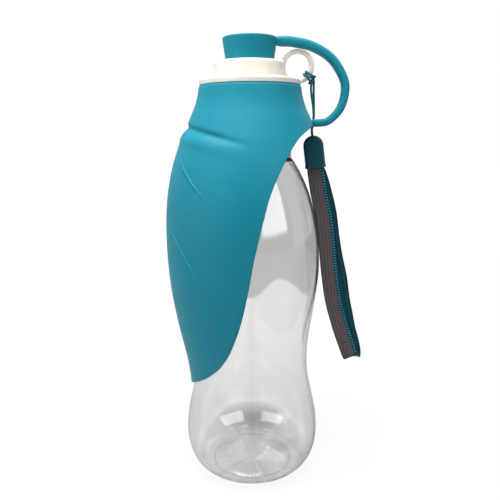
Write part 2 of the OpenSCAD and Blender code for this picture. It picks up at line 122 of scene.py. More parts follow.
def rounded(corners, closed=False, n=5):
    """The corners (x, z, radius) as a line with each of them rounded off."""
    line = []
    count = len(corners)
    for i, (x, z, radius) in enumerate(corners):
        here = Vector((x, z))
        if radius == 0 or (not closed and i in (0, count - 1)):
            line.append((x, z))
            continue
        back = Vector(corners[i - 1][:2]) - here
        on = Vector(corners[(i + 1) % count][:2]) - here
        reach = min(radius / tan(back.angle(on) / 2), 0.49 * back.length, 0.49 * on.length)
        start = here + back.normalized() * reach
        end = here + on.normalized() * reach
        for k in range(n + 1):
            t = k / n
            line.append(tuple((1 - t) ** 2 * start + 2 * t * (1 - t) * here + t * t * end))
    return line


def turned(profile, steps=128, closed=True):
    """A bmesh spun from (radius, height) points about the Z axis."""
    bm = bmesh.new()
    verts = [bm.verts.new((r * MM, 0, z * MM)) for r, z in profile]
    ends = verts[1:] + verts[:1] if closed else verts[1:]
    edges = [bm.edges.new(pair) for pair in zip(verts, ends)]
    bmesh.ops.spin(
        bm, geom=verts + edges, cent=(0, 0, 0), axis=(0, 0, 1), angle=2 * pi, steps=steps, use_merge=True
    )
    return bm


def skinned(rings, closed_way=False, uv=None, second=None):
    """A bmesh skin through rings of points in millimetres. uv gives (across, along) for a ring and a point,
    and faces whose first point passes second() take the piece's second material."""
    bm = bmesh.new()
    count, rows = len(rings[0]), len(rings)
    steps = rows if closed_way else rows - 1
    bmesh.ops.create_grid(bm, x_segments=count, y_segments=steps, size=1)
    place = {}
    for v in bm.verts:
        k = round((v.co.x + 1) / 2 * count)
        i = round((v.co.y + 1) / 2 * steps)
        place[v] = (i, k)
    if uv:
        layer = bm.loops.layers.uv.new("UVMap")
        for face in bm.faces:
            for loop in face.loops:
                loop[layer].uv = uv(*place[loop.vert])
    if second:
        for face in bm.faces:
            face.material_index = int(second(min(place[v][1] for v in face.verts)))
    for v, (i, k) in place.items():
        v.co = Vector(rings[i % rows][k % count]) * MM
    bmesh.ops.remove_doubles(bm, verts=bm.verts, dist=1e-6)
    if not closed_way:
        open_edges = [e for e in bm.edges if e.is_boundary]
        if open_edges:
            bmesh.ops.holes_fill(bm, edges=open_edges, sides=0)
    return bm


def along(path):
    """The direction of a path at each of its points."""
    last = len(path) - 1
    return [(path[min(i + 1, last)] - path[max(i - 1, 0)]).normalized() for i in range(last + 1)]


def tube_rings(path, radius, sides):
    """Rings round a path, each turned as little as possible from the one before."""
    path = [Vector(p) for p in path]
    side = Vector((0, 1, 0))
    rings = []
    for point, way in zip(path, along(path)):
        side = (side - way * side.dot(way)).normalized()
        up = way.cross(side)
        rings.append([
            point + radius * (side * cos(2 * pi * k / sides) + up * sin(2 * pi * k / sides)) for k in range(sides)
        ])
    return rings


def path_lengths(path):
    total = [0.0]
    for a, b in zip(path, path[1:]):
        total.append(total[-1] + (Vector(b) - Vector(a)).length)
    return total


def piece_from(name, bm, material, body, stands_for=(), crisp=40):
    """Makes the mesh a piece. crisp is the angle in degrees above which an edge shows."""
    bmesh.ops.remove_doubles(bm, verts=bm.verts, dist=1e-6)
    bmesh.ops.recalc_face_normals(bm, faces=bm.faces)
    mesh = bpy.data.meshes.new(name)
    bm.to_mesh(mesh)
    bm.free()
    mesh.shade_smooth()
    mesh.set_sharp_from_angle(angle=radians(crisp))
    piece = bpy.data.objects.new(name, mesh)
    scene.collection.objects.link(piece)
    mesh.materials.append(material)
    if body:
        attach(piece, body)
    if stands_for:
        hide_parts(*stands_for)
    return piece


# ---- materials ----
def fresh_material(name):
    material = bpy.data.materials.new(name)
    material.use_nodes = True
    tree = material.node_tree
    bsdf = next(n for n in tree.nodes if n.type == "BSDF_PRINCIPLED")
    return material, tree, bsdf


def node(tree, kind, **values):
    made = tree.nodes.new(kind)
    for key, value in values.items():
        if key in made.inputs:
            made.inputs[key].default_value = value
        else:
            setattr(made, key, value)
    return made


def mottle_group():
    """Cloudy variation of a colour, with a fine grain for roughness and relief."""
    group = bpy.data.node_groups.new("cloud_and_grain", "ShaderNodeTree")
    face = group.interface
    face.new_socket("Color", in_out="INPUT", socket_type="NodeSocketColor")
    for name, value in (("Cloud Scale", 40.0), ("Cloud Amount", 0.1), ("Grain Scale", 900.0), ("Roughness", 0.5),
                        ("Roughness Spread", 0.06)):
        face.new_socket(name, in_out="INPUT", socket_type="NodeSocketFloat").default_value = value
    face.new_socket("Color", in_out="OUTPUT", socket_type="NodeSocketColor")
    face.new_socket("Roughness", in_out="OUTPUT", socket_type="NodeSocketFloat")
    face.new_socket("Grain", in_out="OUTPUT", socket_type="NodeSocketFloat")
    inside = group.nodes.new("NodeGroupInput")
    out = group.nodes.new("NodeGroupOutput")
    place = group.nodes.new("ShaderNodeTexCoord")
    cloud = node(group, "ShaderNodeTexNoise", Detail=3.0, Roughness=0.55)
    grain = node(group, "ShaderNodeTexNoise", Detail=2.0, Roughness=0.6)
    link = group.links.new
    link(place.outputs["Object"], cloud.inputs["Vector"])
    link(place.outputs["Object"], grain.inputs["Vector"])
    link(inside.outputs["Cloud Scale"], cloud.inputs["Scale"])
    link(inside.outputs["Grain Scale"], grain.inputs["Scale"])
    centred = node(group, "ShaderNodeMath", operation="SUBTRACT")
    centred.inputs[1].default_value = 0.5
    link(cloud.outputs["Fac"], centred.inputs[0])
    strength = node(group, "ShaderNodeMath", operation="MULTIPLY_ADD")
    strength.inputs[2].default_value = 1.0
    link(centred.outputs[0], strength.inputs[0])
    link(inside.outputs["Cloud Amount"], strength.inputs[1])
    shade = node(group, "ShaderNodeVectorMath", operation="SCALE")
    link(inside.outputs["Color"], shade.inputs[0])
    link(strength.outputs[0], shade.inputs["Scale"])
    link(shade.outputs[0], out.inputs["Color"])
    spread = node(group, "ShaderNodeMath", operation="MULTIPLY_ADD")
    link(centred.outputs[0], spread.inputs[0])
    link(inside.outputs["Roughness Spread"], spread.inputs[1])
    link(inside.outputs["Roughness"], spread.inputs[2])
    link(spread.outputs[0], out.inputs["Roughness"])
    link(grain.outputs["Fac"], out.inputs["Grain"])
    return group


cloud_and_grain = mottle_group()


def grained(name, color, roughness, cloud=0.12, cloud_scale=40.0, grain=900.0, relief=0.00002, spread=0.08):
    """A moulded surface: its colour in soft clouds, with a fine grain. Gives the material and its shader."""
    material, tree, bsdf = fresh_material(name)
    mottled = tree.nodes.new("ShaderNodeGroup")
    mottled.node_tree = cloud_and_grain
    mottled.inputs["Color"].default_value = (*color, 1)
    mottled.inputs["Cloud Scale"].default_value = cloud_scale
    mottled.inputs["Cloud Amount"].default_value = cloud
    mottled.inputs["Grain Scale"].default_value = grain
    mottled.inputs["Roughness"].default_value = roughness
    mottled.inputs["Roughness Spread"].default_value = spread
    bump = node(tree, "ShaderNodeBump", Strength=0.5, Distance=relief)
    tree.links.new(mottled.outputs["Color"], bsdf.inputs["Base Color"])
    tree.links.new(mottled.outputs["Roughness"], bsdf.inputs["Roughness"])
    tree.links.new(mottled.outputs["Grain"], bump.inputs["Height"])
    tree.links.new(bump.outputs["Normal"], bsdf.inputs["Normal"])
    return material, bsdf


def silicone(name, color):
    material, bsdf = grained(name, color, 0.52, cloud=0.1, cloud_scale=30, grain=1400, relief=0.00003)
    bsdf.inputs["Specular IOR Level"].default_value = 0.2
    bsdf.inputs["Sheen Weight"].default_value = 0.02
    bsdf.inputs["Sheen Roughness"].default_value = 0.4
    return material


def clear_plastic(name):
    material, tree, bsdf = fresh_material(name)
    bsdf.inputs["Base Color"].default_value = (0.93, 0.935, 0.935, 1)
    bsdf.inputs["Transmission Weight"].default_value = 1.0
    bsdf.inputs["IOR"].default_value = 1.5
    place = node(tree, "ShaderNodeTexCoord")
    drawn = node(tree, "ShaderNodeMapping")
    drawn.inputs["Scale"].default_value = (1, 1, 0.25)
    waves = node(tree, "ShaderNodeTexNoise", Scale=85.0, Detail=2.0)
    fine = node(tree, "ShaderNodeTexNoise", Scale=500.0, Detail=2.0)
    spread = node(tree, "ShaderNodeMapRange")
    spread.inputs["To Min"].default_value = 0.02
    spread.inputs["To Max"].default_value = 0.07
    bump = node(tree, "ShaderNodeBump", Strength=0.35, Distance=0.0004)
    tree.links.new(place.outputs["Object"], drawn.inputs["Vector"])
    tree.links.new(drawn.outputs["Vector"], waves.inputs["Vector"])
    tree.links.new(place.outputs["Object"], fine.inputs["Vector"])
    tree.links.new(fine.outputs["Fac"], spread.inputs["Value"])
    tree.links.new(spread.outputs["Result"], bsdf.inputs["Roughness"])
    tree.links.new(waves.outputs["Fac"], bump.inputs["Height"])
    tree.links.new(bump.outputs["Normal"], bsdf.inputs["Normal"])
    return material


def math_node(tree, operation, first, second=None, third=None, clamp=False):
    """A math node fed with sockets or numbers; gives back its output."""
    made = node(tree, "ShaderNodeMath", operation=operation, use_clamp=clamp)
    for k, value in enumerate((first, second, third)):
        if value is None:
            continue
        if isinstance(value, (int, float)):
            made.inputs[k].default_value = value
        else:
            tree.links.new(value, made.inputs[k])
    return made.outputs[0]


def blend_colors(tree, share, first, second):
    made = node(tree, "ShaderNodeMix", data_type="RGBA")
    tree.links.new(share, made.inputs["Factor"])
    for name, value in (("A", first), ("B", second)):
        if isinstance(value, tuple):
            made.inputs[name].default_value = (*value, 1)
        else:
            tree.links.new(value, made.inputs[name])
    return made.outputs["Result"]


def woven(name, color, dark, ribs, threads, edge=None):
    """Cloth on a piece's own UV map: ribs along its length, crossed by threads, with fuzz over both.
    edge is (width, far_width, color, light): selvedges along both sides, the first of them stitched."""
    material, tree, bsdf = fresh_material(name)
    place = node(tree, "ShaderNodeUVMap", uv_map="UVMap")
    split = node(tree, "ShaderNodeSeparateXYZ")
    tree.links.new(place.outputs["UV"], split.inputs[0])
    across, along_it = split.outputs["X"], split.outputs["Y"]

    def wave(source, times):
        return math_node(tree, "SINE", math_node(tree, "MULTIPLY", source, times * 2 * pi))

    rib, thread = wave(across, ribs), wave(along_it, threads)
    level = math_node(tree, "MULTIPLY_ADD", math_node(tree, "MULTIPLY", rib, thread), 0.6, rib)
    height = math_node(tree, "MULTIPLY_ADD", level, 0.3125, 0.5)
    coords = node(tree, "ShaderNodeTexCoord")
    fuzz = node(tree, "ShaderNodeTexNoise", Scale=1500.0, Detail=2.0)
    tree.links.new(coords.outputs["Object"], fuzz.inputs["Vector"])
    # The weave's low parts take the dark colour: painted shade in its grooves, with fuzz that varies the tone at
    # random.
    shade = math_node(tree, "MULTIPLY_ADD", fuzz.outputs["Fac"], 0.35, math_node(tree, "MULTIPLY", height, 0.75))
    seen = blend_colors(tree, shade, dark, color)
    if edge:
        width, far_width, edge_color, light = edge
        in_first = math_node(tree, "LESS_THAN", across, width)
        in_edge = math_node(tree, "MAXIMUM", in_first, math_node(tree, "GREATER_THAN", across, 1 - far_width))
        off = math_node(tree, "ABSOLUTE", math_node(tree, "SUBTRACT", across, 0.5 * width))
        stitch = math_node(tree, "LESS_THAN", off, 0.3 * width)
        stitch = math_node(tree, "MULTIPLY", stitch, math_node(tree, "GREATER_THAN", thread, 0.0))
        seen = blend_colors(tree, in_edge, seen, blend_colors(tree, stitch, edge_color, light))
    tree.links.new(seen, bsdf.inputs["Base Color"])
    bump = node(tree, "ShaderNodeBump", Strength=0.6, Distance=0.00012)
    tree.links.new(height, bump.inputs["Height"])
    tree.links.new(bump.outputs["Normal"], bsdf.inputs["Normal"])
    bsdf.inputs["Roughness"].default_value = 0.75
    bsdf.inputs["Specular IOR Level"].default_value = 0.2
    return material


teal_silicone = silicone("teal silicone", (0.006, 0.235, 0.32))
clear_bottle = clear_plastic("clear plastic")
white_plastic = grained(
    "warm white plastic", (0.83, 0.785, 0.69), 0.36, cloud=0.03, grain=1800, relief=0.00001
)[0]
seal_rubber = grained("seal rubber", (0.75, 0.76, 0.75), 0.6, cloud=0.05)[0]
dark_satin, dark_bsdf = grained(
    "dark teal end piece", (0.0003, 0.078, 0.108), 0.36, cloud=0.15, cloud_scale=120, grain=1600, relief=0.00002
)
dark_bsdf.inputs["Specular IOR Level"].default_value = 0.2
cord_cloth = woven("braided cord", (0.03, 0.26, 0.34), (0.004, 0.04, 0.056), 4, 1.6)
edge_teal, stitch_teal = (0.001, 0.028, 0.042), (0.035, 0.28, 0.38)
ribbon_brown = woven(
    "ribbon outside", (0.145, 0.117, 0.124), (0.078, 0.06, 0.065), 5, 0.62, (0.22, 0.03, edge_teal, stitch_teal)
)
ribbon_teal = woven(
    "ribbon inside", (0.004, 0.09, 0.12), (0.0005, 0.012, 0.019), 4, 0.62, (0.09, 0.09, edge_teal, stitch_teal)
)


# ---- bottle ----
def swell(r0, z0, r1, z1, z):
    return (r0 + r1) / 2 + (r0 - r1) / 2 * cos(pi * (z - z0) / (z1 - z0))


def bottle_r(z):
    if z < waist_z:
        return swell(heel_r, heel_z, waist_r, waist_z, max(z, heel_z))
    if z < belly_z:
        return swell(waist_r, waist_z, belly_r, belly_z, z)
    if z < root_z:
        return belly_r * sqrt(1 - ((z - belly_z) / shoulder_h) ** 2)
    return neck_r


def body_side(t):
    """The bottle's side from its foot to its shoulder, t inside the outer surface."""
    line = [
        (mix(foot_r, heel_r - t, sin(radians(a))), mix(t, heel_z, 1 - cos(radians(a)))) for a in range(0, 90, 5)
    ]
    line += [(bottle_r(z) - t, z) for z in range(heel_z, belly_z, 2)]
    for a in range(0, 60, 3):
        z = belly_z + (root_z - belly_z) * sin(radians(a)) / sin(radians(60))
        line.append((bottle_r(z) - t, z))
    return line


def make_bottle():
    punt = smooth([(0, 1), (0.5, 0.86), (0.85, 0.42), (1, 0)], 5)
    ledge_z = lip_z - 19
    outside = [(foot_in * a, punt_h * b) for a, b in punt] + body_side(0)
    neck = rounded([
        (neck_r, root_z, 0), (neck_r, ledge_z - 2.4, 0.4), (25, ledge_z - 2.4, 0.4), (25, ledge_z, 0.4),
        (neck_r, ledge_z, 0.4), (neck_r, lip_z, 0.6), (neck_r - neck_wall, lip_z, 0.5),
        (neck_r - neck_wall, root_z, 0),
    ])
    inside = body_side(wall)[::-1] + [(foot_in * a, punt_h * b + wall) for a, b in punt[::-1]]
    bm = turned(outside + neck + inside, 160, closed=False)
    piece_from("bottle_body", bm, clear_bottle, "bottle", ["bottle"], crisp=24)


make_bottle()


# ---- cap ----
def make_cap():
    skirt_z = plate_z - 17.5
    bead_z = rim_z - grip_h - 1.6
    ceiling = tier_z - 1.9
    corners = [
        (skirt_in, skirt_z, 0.3), (skirt_out, skirt_z, 0.6), (skirt_out, bead_z, 0.3),
        (skirt_out + 0.8, bead_z + 0.5, 0.4), (skirt_out + 0.8, bead_z + 1.1, 0.4), (skirt_out, bead_z + 1.6, 0.2),
        (skirt_out, rim_z - sag, 0), (27.3, rim_z - sag, 0.3), (27.3, rim_z + 1.9, 0.7), (23.2, rim_z + 2.35, 3),
        (tier_r, rim_z + 3.4, 0.8), (tier_r, tier_z - sag, 1.8), (9, tier_z - sag, 0.6), (7.8, spout_z, 0.6),
        (4, spout_z, 0.5), (4, ceiling, 0.4), (17.1, ceiling, 0.8), (17.1, plate_z, 0.3), (skirt_in, plate_z, 0.2),
    ]
    bm = turned(rounded(corners, closed=True), 144)
    piece_from("screw_cap", bm, white_plastic, "head", ["cap"])


def make_side_ring():
    """The upright ring: a rounded section turned about the ring's own axis, its root sunk in the cap."""
    bm = bmesh.new()
    corners = [(ring_in, -ring_half), (ring_out, -ring_half), (ring_out, ring_half), (ring_in, ring_half)]
    section = rounded([(*corner, 0.8) for corner in corners], closed=True, n=5)
    verts = [bm.verts.new(((ring_x + r) * MM, y * MM, ring_z * MM)) for r, y in section]
    edges = [bm.edges.new(pair) for pair in zip(verts, verts[1:] + verts[:1])]
    bmesh.ops.spin(
        bm, geom=verts + edges, cent=(ring_x * MM, 0, ring_z * MM), axis=(0, 1, 0), angle=2 * pi, steps=96,
        use_merge=True,
    )
    piece_from("cap_side_ring", bm, white_plastic, "head", crisp=60)


def make_seal():
    out = skirt_in - 0.3
    section = [(out - 4.6, lip_z, 0.4), (out, lip_z, 0.4), (out, plate_z, 0.4), (out - 4.6, plate_z, 0.4)]
    bm = turned(rounded(section, closed=True, n=4), 96)
    piece_from("sealing_ring", bm, seal_rubber, "seal", ["cap_seal"])


make_cap()
make_side_ring()
make_seal()

# ---- leaf sleeve ----
# The leaf's outside, as drops below the rim with distances out from the collar, then from the bottle.
collar_swell = [(0, 0), (6.3, 1.1), (12.3, 2.9), (18.6, 5.8), (25.3, 8.8), (31.8, 11.6), (45.3, 16.1)]
leaf_stand = [(63.3, 12.6), (84.3, 9.4), (109.3, 7.9), (132.7, 7.7), (153.8, 5.4), (166.5, 2.9)]
leaf_line = smooth(
    [(drop, collar_r + out) for drop, out in collar_swell]
    + [(drop, bottle_r(rim_z - drop) + out) for drop, out in leaf_stand]
    + [(drop, bottle_r(rim_z - drop) + leaf_wall + 0.35) for drop in (171, 176)],
    8,
)
leaf_drops = [p[0] for p in leaf_line]
# From the strap's side to the tip: angle at the rim, drop of the edge, angle of the edge.
leaf_fan = [
    (180, 20.6, 180), (176, 20.6, 176), (163, 22.6, 164), (146, 24.8, 148), (130, 28.3, 133), (116, 34, 122),
    (103, 42.5, 112), (90, 53.7, 103.7), (79, 65, 98.8), (65, 85.6, 92.5), (52, 107.4, 87.4), (42, 124.2, 82),
    (32.5, 138.9, 74.1), (26.5, 147, 66.6), (22.5, 151.7, 60.4), (17, 157.5, 49.4), (12.5, 162, 38), (8, 166.2, 25),
    (3.8, 169.6, 12), (0, 170.9, 0),
]


def leaf_radius(drop):
    i = min(max(bisect_right(leaf_drops, drop), 1), len(leaf_line) - 1)
    (d0, r0), (d1, r1) = leaf_line[i - 1], leaf_line[i]
    return mix(r0, r1, (drop - d0) / (d1 - d0))


def crease_drop(angle):
    """How far below the rim the crease lies at an angle from the leaf's middle."""
    return 32 - 9.2 * cos(radians(angle))


def fold(drop, angle):
    """The crease's valley and the bulge below it, as a distance outwards."""
    strength = ease((94 - abs(angle)) / 36)
    below = (drop - crease_drop(angle)) * cos(radians(15))
    return strength * (-1.4 * exp(-((below / 1.7) ** 2)) + 0.6 * exp(-(((below - 5) / 2.9) ** 2)))


def on_leaf(drop, angle, out=0.0, inner=False):
    if inner:
        r = leaf_radius(drop) - leaf_wall + fold(drop, angle) * 0.9
    else:
        r = leaf_radius(drop) + fold(drop, angle)
    a = radians(angle)
    return Vector((-(r + out) * cos(a), -(r + out) * sin(a), rim_z - drop))


def leaf_column(rim_angle, edge_drop, edge_angle):
    """The points of one column: down the outside, round the lip, up the inside and over the top."""
    mean_r = 40
    crease = min(crease_drop(rim_angle), 0.72 * edge_drop)
    # The rows lie closer from this far above the crease to this far below it.
    above, below = min(3.5, 0.3 * crease), min(7.5, 0.6 * (edge_drop - crease))
    side = radians(edge_angle - rim_angle) * mean_r
    length = hypot(edge_drop, side)
    end = edge_drop * (1 - leaf_wall / 2 / length)

    def angle_at(drop):
        return mix(rim_angle, edge_angle, max(drop / edge_drop, 0) ** 1.35)

    drops = [sag + 0.1, sag + 0.35, sag + 0.8]
    drops += [mix(sag + 1.4, crease - above, k / 8) for k in range(9)]
    drops += [mix(crease - above, crease + below, k / 30) for k in range(1, 31)]
    drops += [mix(crease + below, end, k / 76) for k in range(1, 77)]
    turn_in = [-0.8, -0.35, -0.08] + [0] * len(drops)
    outer = [on_leaf(d, angle_at(d), out=o) for d, o in zip(drops, turn_in)]
    inner = [on_leaf(d, angle_at(d), inner=True) for d in [mix(9.6, end, 1 - k / 40) for k in range(41)]]
    normal = (outer[-1] - inner[0]).normalized()
    way = (outer[-1] - outer[-2]).normalized()
    middle = (outer[-1] + inner[0]) / 2
    half = (outer[-1] - inner[0]).length / 2
    lip = [
        middle + normal * half * cos(radians(a)) + way * half * 0.9 * sin(radians(a))
        for a in (22, 45, 68, 90, 112, 135, 158)
    ]
    a = radians(rim_angle)
    grip = [
        Vector((-r * cos(a), -r * sin(a), rim_z - d))
        for r, d in ((27.2, 8.9), (grip_r + 0.4, 8.2), (grip_r, 7.7), (grip_r, 4), (grip_r, sag + 0.5),
                     (grip_r + 0.4, sag + 0.05), (collar_r - 1.3, sag + 0.02))
    ]
    return outer + lip + inner + grip


def make_leaf():
    half = smooth(leaf_fan, 6)
    columns = [leaf_column(*p) for p in half]
    columns += [[Vector((p.x, -p.y, p.z)) for p in column] for column in reversed(columns[1:-1])]
    bm = skinned(columns, closed_way=True)
    piece_from("leaf_bowl", bm, teal_silicone, "head", ["leaf_sleeve"], crisp=75)


def make_vein(name, points, mirror=1):
    """A raised rib on the leaf's outside, thin at both ends, its root sunk in the wall."""
    line = smooth(points, 8)
    places = [on_leaf(d, a * mirror) for d, a in line]
    ways = along(places)
    rings = []
    for i, (place, way) in enumerate(zip(places, ways)):
        t = i / (len(places) - 1)
        size = 0.12 + 0.88 * ease(min(t / 0.16, (1 - t) / 0.45))
        out = Vector((place.x, place.y, 0)).normalized()
        across = way.cross(out).normalized()
        ring = []
        for k in range(9):
            s = k / 4 - 1
            ring.append(place + across * s * 0.8 + out * (0.62 * size * (cos(pi * s) + 1) / 2 - 0.05))
        ring += [place + across * s * 0.5 - out * 0.6 for s in (1, 0, -1)]
        rings.append(ring)
    bm = skinned(rings)
    piece_from(name, bm, teal_silicone, "head", crisp=60)


make_leaf()
# The veins on the front half, as drops and angles.
upper_vein = [(34.6, 21.4), (40.5, 32.4), (46.5, 42.4), (51.8, 51), (56.6, 57.9), (60, 63.7)]
lower_vein = [(74.1, 25), (80.6, 34.3), (85.7, 40.6), (91.3, 46.6), (96.9, 52.4), (102.5, 58.7)]
for side, mirror in (("front", 1), ("back", -1)):
    make_vein(f"upper_vein_{side}", upper_vein, mirror)
    make_vein(f"lower_vein_{side}", lower_vein, mirror)


# ---- plug and strap ----
def make_plug():
    """The stopper: a domed top, straight flared sides, a socket over the spout and a stub into its bore."""
    top_r, dome = 14.7, 0.8
    crown = [(top_r * k / 8, plug_top - dome * (k / 8) ** 2) for k in range(8)]
    corners = [
        (top_r, plug_top - dome - 0.05, 0.9), (13, plug_z - 0.5, 0.35), (9.25, plug_z - 0.5, 0.3),
        (8.05, spout_z + 0.3, 0.5), (3.75, spout_z + 0.3, 0.3), (3.25, spout_z - 2.7, 0.5),
    ]
    line = crown + rounded([(*crown[-1], 0), *corners, (0, spout_z - 2.7, 0)])[1:]
    bm = turned(line, 128, closed=False)
    piece_from("spout_plug", bm, teal_silicone, "plug", ["plug"], crisp=55)


# The strap's middle line from the sleeve's ear over to the stopper, as x and z.
strap_route = [
    (32.6, 202.4), (34.4, 201.9), (ear_x, ear_z), (ear_x + 6, ear_z + 1.2), (49.1, ear_z + 7.6),
    (51.6, ear_z + 16.8), (50.1, ear_z + 24.4), (43.6, ear_z + 33.8), (33.4, lug_z - 3.7),
    (22.9, lug_z - 1.3), (lug_x, lug_z - 1), (11.8, plug_top - 2.3), (5, plug_top - 1.2),
]
# Half width and half thickness at the same places.
strap_size = [
    (5.2, 0.8), (4.6, 1.8), (4.1, 2.05), (3.9, 2.05), (3.9, 2.1), (3.9, 2.15), (3.9, 2.2), (3.9, 2.3), (3.9, 2.4),
    (3.95, 2.5), (4.1, 2.45), (4.6, 1.7), (5, 0.5),
]


def make_strap():
    """The strap: a flat band with full, softly rounded sides, swept along its route."""
    sides, power = 28, 3.4
    line = smooth([(*p, *s) for p, s in zip(strap_route, strap_size)], 7)
    path = [Vector((x, 0, z)) for x, z, _, _ in line]
    rings = []
    for (x, z, wide, thick), point, way in zip(line, path, along(path)):
        up = Vector((-way.z, 0, way.x))
        ring = []
        for k in range(sides):
            a = 2 * pi * k / sides
            c, s = cos(a), sin(a)
            full = (abs(c) ** power + abs(s) ** power) ** (-1 / power)
            ring.append(point + Vector((0, 1, 0)) * wide * full * c + up * thick * full * s)
        rings.append(ring)
    piece = piece_from(
        "plug_tether", skinned(rings), teal_silicone, None, ["plug_strap"], crisp=60
    )
    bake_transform(piece)


make_plug()
make_strap()

# ---- lanyard ----
hitch_angle = radians(-40)
hitch_out = Vector((cos(hitch_angle), 0, sin(hitch_angle)))
hitch_along = Vector((-sin(hitch_angle), 0, cos(hitch_angle)))
hitch_at = Vector((ring_x, 0, ring_z)) + hitch_out * (ring_in + ring_out) / 2
# Half of the hitch: out from the ring's middle line, along the ring, and towards the back.
hitch_half = [
    (3.6, -0.8, 2.6), (1.5, -0.8, 2.7), (-0.4, -0.8, 2.6), (-1.5, -0.8, 2.3), (-2.2, -0.8, 1.3), (-2.4, -0.8, 0),
    (-2.2, -0.8, -1.3), (-1.5, -0.8, -2.3), (-0.3, -0.9, -2.6), (1.2, -1.1, -2.5), (2.4, -1.6, -1.7), (3, -2.1, -0.2),
    (3.1, -2.3, 1.5), (3.1, -2.2, 3.1), (3, -1.7, 4.2), (3, -0.7, 4.6),
]
end_at = Vector((34.8, 5.5, 194.8))
end_turn = Matrix.Rotation(radians(-7), 3, "Y")
end_half, end_long, end_thick, end_soft = 5.6, 17.9, 5.0, 1.5
leg_turn = radians(75)
# The middle between the two legs, with the share of leg_turn that they still have there.
leg_points = [
    (34.5, 5.8, 198, 1), (35.1, 6.3, 200.3, 1), (35.4, 6.5, 202.3, 1), (35.5, 6.5, 204.5, 1), (35.5, 6.3, 207, 1),
    (35.3, 5.9, 210, 0.87), (34.9, 5.4, 214, 0.6), (34.5, 5, 217.5, 0.3), (34.3, 4.4, 221, 0),
]


def in_end(x, y, z):
    """A point of the end piece's own frame, in which it hangs along -Z from its round top."""
    return end_at + end_turn @ Vector((x, y, z))


def cord_points():
    def leg(s):
        low = [in_end(s * cos(leg_turn), s * sin(leg_turn), z) for z in (-5.4, -3, 0)]
        return low + [
            Vector((x + s * cos(leg_turn * turn), y + s * sin(leg_turn * turn), z)) for x, y, z, turn in leg_points
        ]

    def hitch(side):
        return [hitch_at + hitch_out * a + hitch_along * b * side + Vector((0, c, 0)) for a, b, c in hitch_half]

    return leg(-0.75) + hitch(1) + hitch(-1)[::-1] + leg(0.75)[::-1]


def make_cord():
    path = smooth([tuple(p) for p in cord_points()], 3)
    reach = path_lengths(path)
    sides = 12
    bm = skinned(tube_rings(path, 0.6, sides), uv=lambda i, k: (k / sides, reach[i]))
    piece = piece_from("wrist_loop_cord", bm, cord_cloth, None, ["wrist_cord"], crisp=80)
    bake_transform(piece)


def make_knot():
    """The doubled cord's knot: one strand in three interlaced turns."""
    path = []
    for k in range(60):
        t = 2 * pi * k / 60
        r = 0.95 + 0.42 * cos(3 * t)
        path.append(in_end(r * cos(2 * t), r * sin(2 * t), -6.7 + 0.62 * sin(3 * t)))
    rings = tube_rings(path + path[:2], 0.55, 8)[1:-1]
    bm = skinned(rings, closed_way=True, uv=lambda i, k: (k / 8, i * 0.2))
    return piece_from("doubled_knot", bm, cord_cloth, "lanyard", ["cord_knot"], crisp=80)


def only_verts(geometry):
    return [v for v in geometry if isinstance(v, bmesh.types.BMVert)]


def make_end_piece():
    """The moulded end: a round-topped block with soft edges and a pocket for the ribbon."""
    bm = bmesh.new()
    outline = [(end_half * cos(radians(a)), -end_half + end_half * sin(radians(a))) for a in range(0, 181, 9)]
    outline = [(end_half, -end_long)] + outline + [(-end_half, -end_long)]
    front = [bm.verts.new((x, -end_thick / 2, z)) for x, z in outline]
    face = bm.faces.new(front)
    made = bmesh.ops.extrude_face_region(bm, geom=[face])
    bmesh.ops.translate(bm, vec=(0, end_thick, 0), verts=only_verts(made["geom"]))
    bmesh.ops.recalc_face_normals(bm, faces=bm.faces)
    soft = [e for e in bm.edges if len(e.link_faces) == 2 and e.calc_face_angle() > radians(60)
            and not all(v.co.z < -end_long + 0.01 for v in e.verts)]
    bmesh.ops.bevel(bm, geom=soft, offset=end_soft, offset_type="OFFSET", segments=5, profile=0.5, affect="EDGES",
                    material=-1, clamp_overlap=True)
    mouth = min(bm.faces, key=lambda f: f.calc_center_median().z)
    bmesh.ops.inset_region(bm, faces=[mouth], thickness=0.55, depth=0, use_even_offset=True)
    mouth = min(bm.faces, key=lambda f: (round(f.calc_center_median().z, 3), -f.calc_area()))
    pocket = bmesh.ops.extrude_face_region(bm, geom=[mouth])
    bmesh.ops.translate(bm, vec=(0, 0, 6), verts=only_verts(pocket["geom"]))
    bmesh.ops.delete(bm, geom=[mouth], context="FACES_ONLY")
    for v in bm.verts:
        v.co = in_end(*v.co) * MM
    return piece_from("cord_end_block", bm, dark_satin, "lanyard", ["cord_end"], crisp=50)


def make_end_lip():
    """The thicker band round the end piece's mouth."""
    high, out_by, sunk = 1.4, 0.45, 0.15
    section = rounded([(0, -high, 0.3), (out_by, -high, 0.35), (out_by, 0, 0.35), (0, 0, 0.3)], closed=True, n=3)
    deep = end_thick / 2
    corners = [(end_half, -deep), (end_half, deep), (-end_half, deep), (-end_half, -deep)]
    line = rounded([(*corner, end_soft) for corner in corners], closed=True, n=8)
    count = len(line)
    rings = []
    for i, (x, y) in enumerate(line):
        back, on = Vector(line[i - 1]), Vector(line[(i + 1) % count])
        way = (on - back).normalized()
        out = Vector((way.y, -way.x))
        rings.append([
            in_end(x + out.x * (o - sunk), y + out.y * (o - sunk), high - end_long + z) for o, z in section
        ])
    bm = skinned(rings, closed_way=True)
    piece_from("cord_end_lip", bm, dark_satin, "lanyard", crisp=50)


